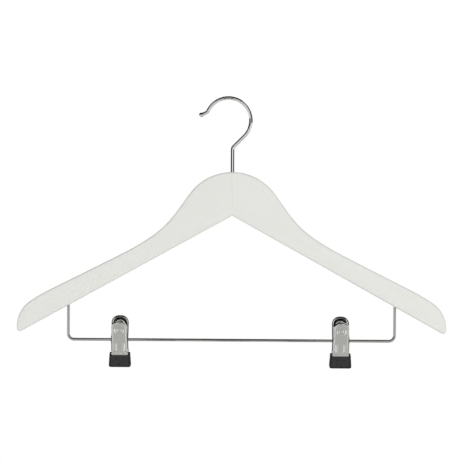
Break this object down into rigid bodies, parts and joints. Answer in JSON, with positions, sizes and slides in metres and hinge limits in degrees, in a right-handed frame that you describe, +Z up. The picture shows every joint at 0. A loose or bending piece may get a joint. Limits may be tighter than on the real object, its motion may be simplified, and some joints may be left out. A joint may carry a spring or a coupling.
{
  "type": "skirt hanger",
  "caption": "Wooden hanger with a swivelling wire hook and a wire bar that carries sprung sliding clips with rubber pads for holding a skirt by its waistband.",
  "frame": {"origin": "where the swivel axis meets the inside of the hook, the place that hangs on a rail", "axes": "+X to the right along the bar seen from the front, +Y to the back, +Z up along the hook's stem"},
  "size_m": [0.445, 0.0275, 0.2824],
  "materials": {
    "wood": "pale stain under satin lacquer",
    "hook_chrome": "polished plating",
    "sleeve_steel": "turned",
    "bar_chrome": "polished plating",
    "clip_nickel": "bright plating on stamped sheet",
    "pad_rubber": "satin moulded",
    "spring_steel": "drawn wire"
  },
  "bodies": {
    "hook": {"hook": "hook_chrome"},
    "hanger": {"left_arm": "wood", "right_arm": "wood", "hook_sleeve": "sleeve_steel", "clip_bar": "bar_chrome"},
    "left_tube": {"left_pivot_tube": "clip_nickel"},
    "left_back": {"left_back_jaw": "clip_nickel", "left_back_pad": "pad_rubber", "left_spring": "spring_steel"},
    "left_front": {"left_front_jaw": "clip_nickel", "left_front_pad": "pad_rubber"},
    "right_tube": {"right_pivot_tube": "clip_nickel"},
    "right_back": {"right_back_jaw": "clip_nickel", "right_back_pad": "pad_rubber", "right_spring": "spring_steel"},
    "right_front": {"right_front_jaw": "clip_nickel", "right_front_pad": "pad_rubber"}
  },
  "joints": [
    {"name": "hook_swivel", "type": "hinge", "parent": "hook", "child": "hanger", "pos_m": [0, 0, -0.08], "axis": [0, 0, 1], "continuous": true},
    {"name": "left_clip_slide", "type": "slide", "parent": "hanger", "child": "left_tube", "axis": [1, 0, 0], "range_m": [-0.038, 0.104]},
    {"name": "left_clip_swing", "type": "hinge", "parent": "left_tube", "child": "left_back", "pos_m": [-0.116, 0, -0.24922], "axis": [1, 0, 0], "continuous": true},
    {"name": "left_clip_open", "type": "hinge", "parent": "left_back", "child": "left_front", "pos_m": [-0.116, 0, -0.24922], "axis": [-1, 0, 0], "range_deg": [0, 40], "stiffness_Nm_per_rad": 0.35, "springref_deg": -57.3, "deforming": ["left_spring"]},
    {"name": "right_clip_slide", "type": "slide", "parent": "hanger", "child": "right_tube", "axis": [1, 0, 0], "range_m": [-0.1015, 0.0405]},
    {"name": "right_clip_swing", "type": "hinge", "parent": "right_tube", "child": "right_back", "pos_m": [0.1135, 0, -0.24922], "axis": [1, 0, 0], "continuous": true},
    {"name": "right_clip_open", "type": "hinge", "parent": "right_back", "child": "right_front", "pos_m": [0.1135, 0, -0.24922], "axis": [-1, 0, 0], "range_deg": [0, 40], "stiffness_Nm_per_rad": 0.35, "springref_deg": -57.3, "deforming": ["right_spring"]}
  ]
}
